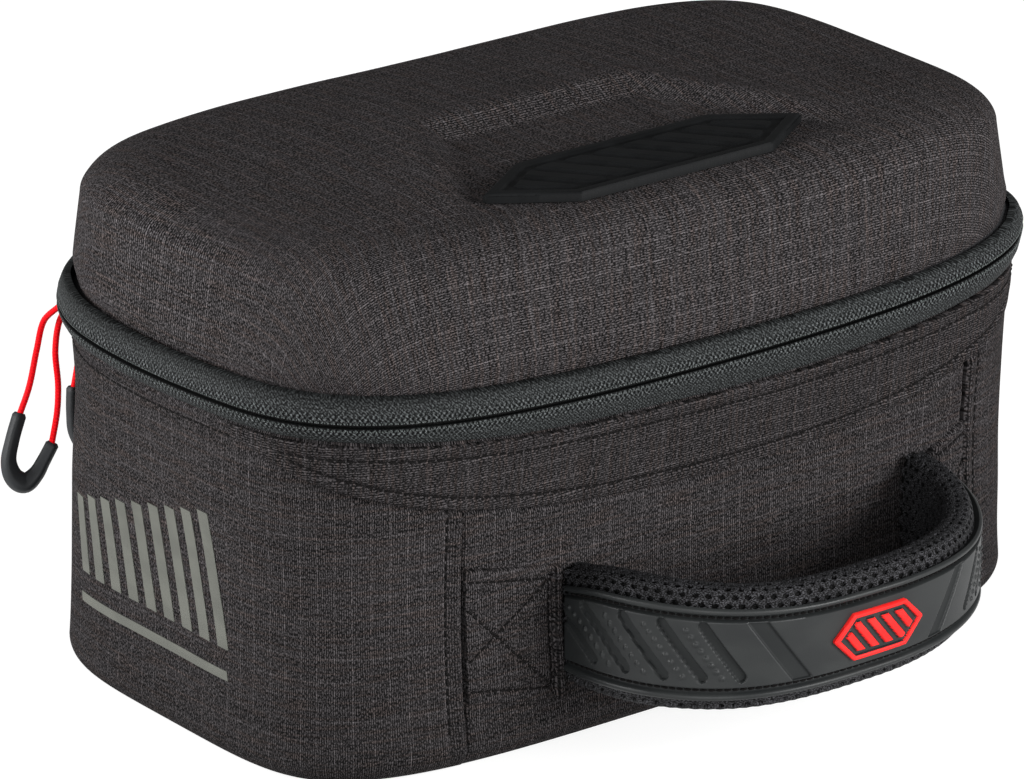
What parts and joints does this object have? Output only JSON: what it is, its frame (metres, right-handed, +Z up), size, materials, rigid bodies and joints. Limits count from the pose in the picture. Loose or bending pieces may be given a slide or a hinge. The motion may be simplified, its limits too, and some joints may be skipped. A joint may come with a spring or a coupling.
{
  "type": "goggle case",
  "caption": "Soft-sided carrying case: padded cloth base, domed moulded lid on a cloth hinge, zip round the front, padded handle with rubber grip and corded zip pulls.",
  "frame": {"origin": "middle of the flat underside that the case stands on, centred on the zip ridge's plan", "axes": "X along the length with the zip pulls at -X, -Y towards the handle, Z up"},
  "size_m": [0.3, 0.2495, 0.1709],
  "materials": {
    "cloth": "dark charcoal heathered woven polyester with lighter slubs",
    "zip_tape": "charcoal woven zip tape, coarse knobbly weave along the ridge",
    "spacer_mesh": "black open spacer mesh over padding",
    "grip_rubber": "matt dark grey moulded rubber",
    "badge_rubber": "matt black moulded rubber",
    "red_rubber": "matt red moulded rubber",
    "red_cord": "red braided cord",
    "pull_plastic": "black moulded plastic, fine matt grain",
    "slider_metal": "black painted metal"
  },
  "bodies": {
    "base": {"front_panel": "cloth", "back_panel": "cloth", "end_panel_left": "cloth", "end_panel_right": "cloth", "bottom_panel": "cloth", "front_yoke": "cloth", "base_tape": "zip_tape", "hinge_strip": "cloth", "patch_left": "cloth", "patch_right": "cloth", "handle_pad": "spacer_mesh", "handle_grip": "grip_rubber", "grip_badge": "red_rubber", "slider_front": "slider_metal", "slider_back": "slider_metal", "cord_front": "red_cord", "cord_back": "red_cord", "pull_front": "pull_plastic", "pull_back": "pull_plastic"},
    "lid": {"lid_shell": "cloth", "lid_tape": "zip_tape", "lid_badge": "badge_rubber"}
  },
  "joints": [
    {"name": "lid_hinge", "type": "hinge", "parent": "base", "child": "lid", "pos_m": [0, 0.0906, 0.12], "axis": [-1, 0, 0], "range_deg": [0, 175], "deforming": ["hinge_strip"]}
  ]
}
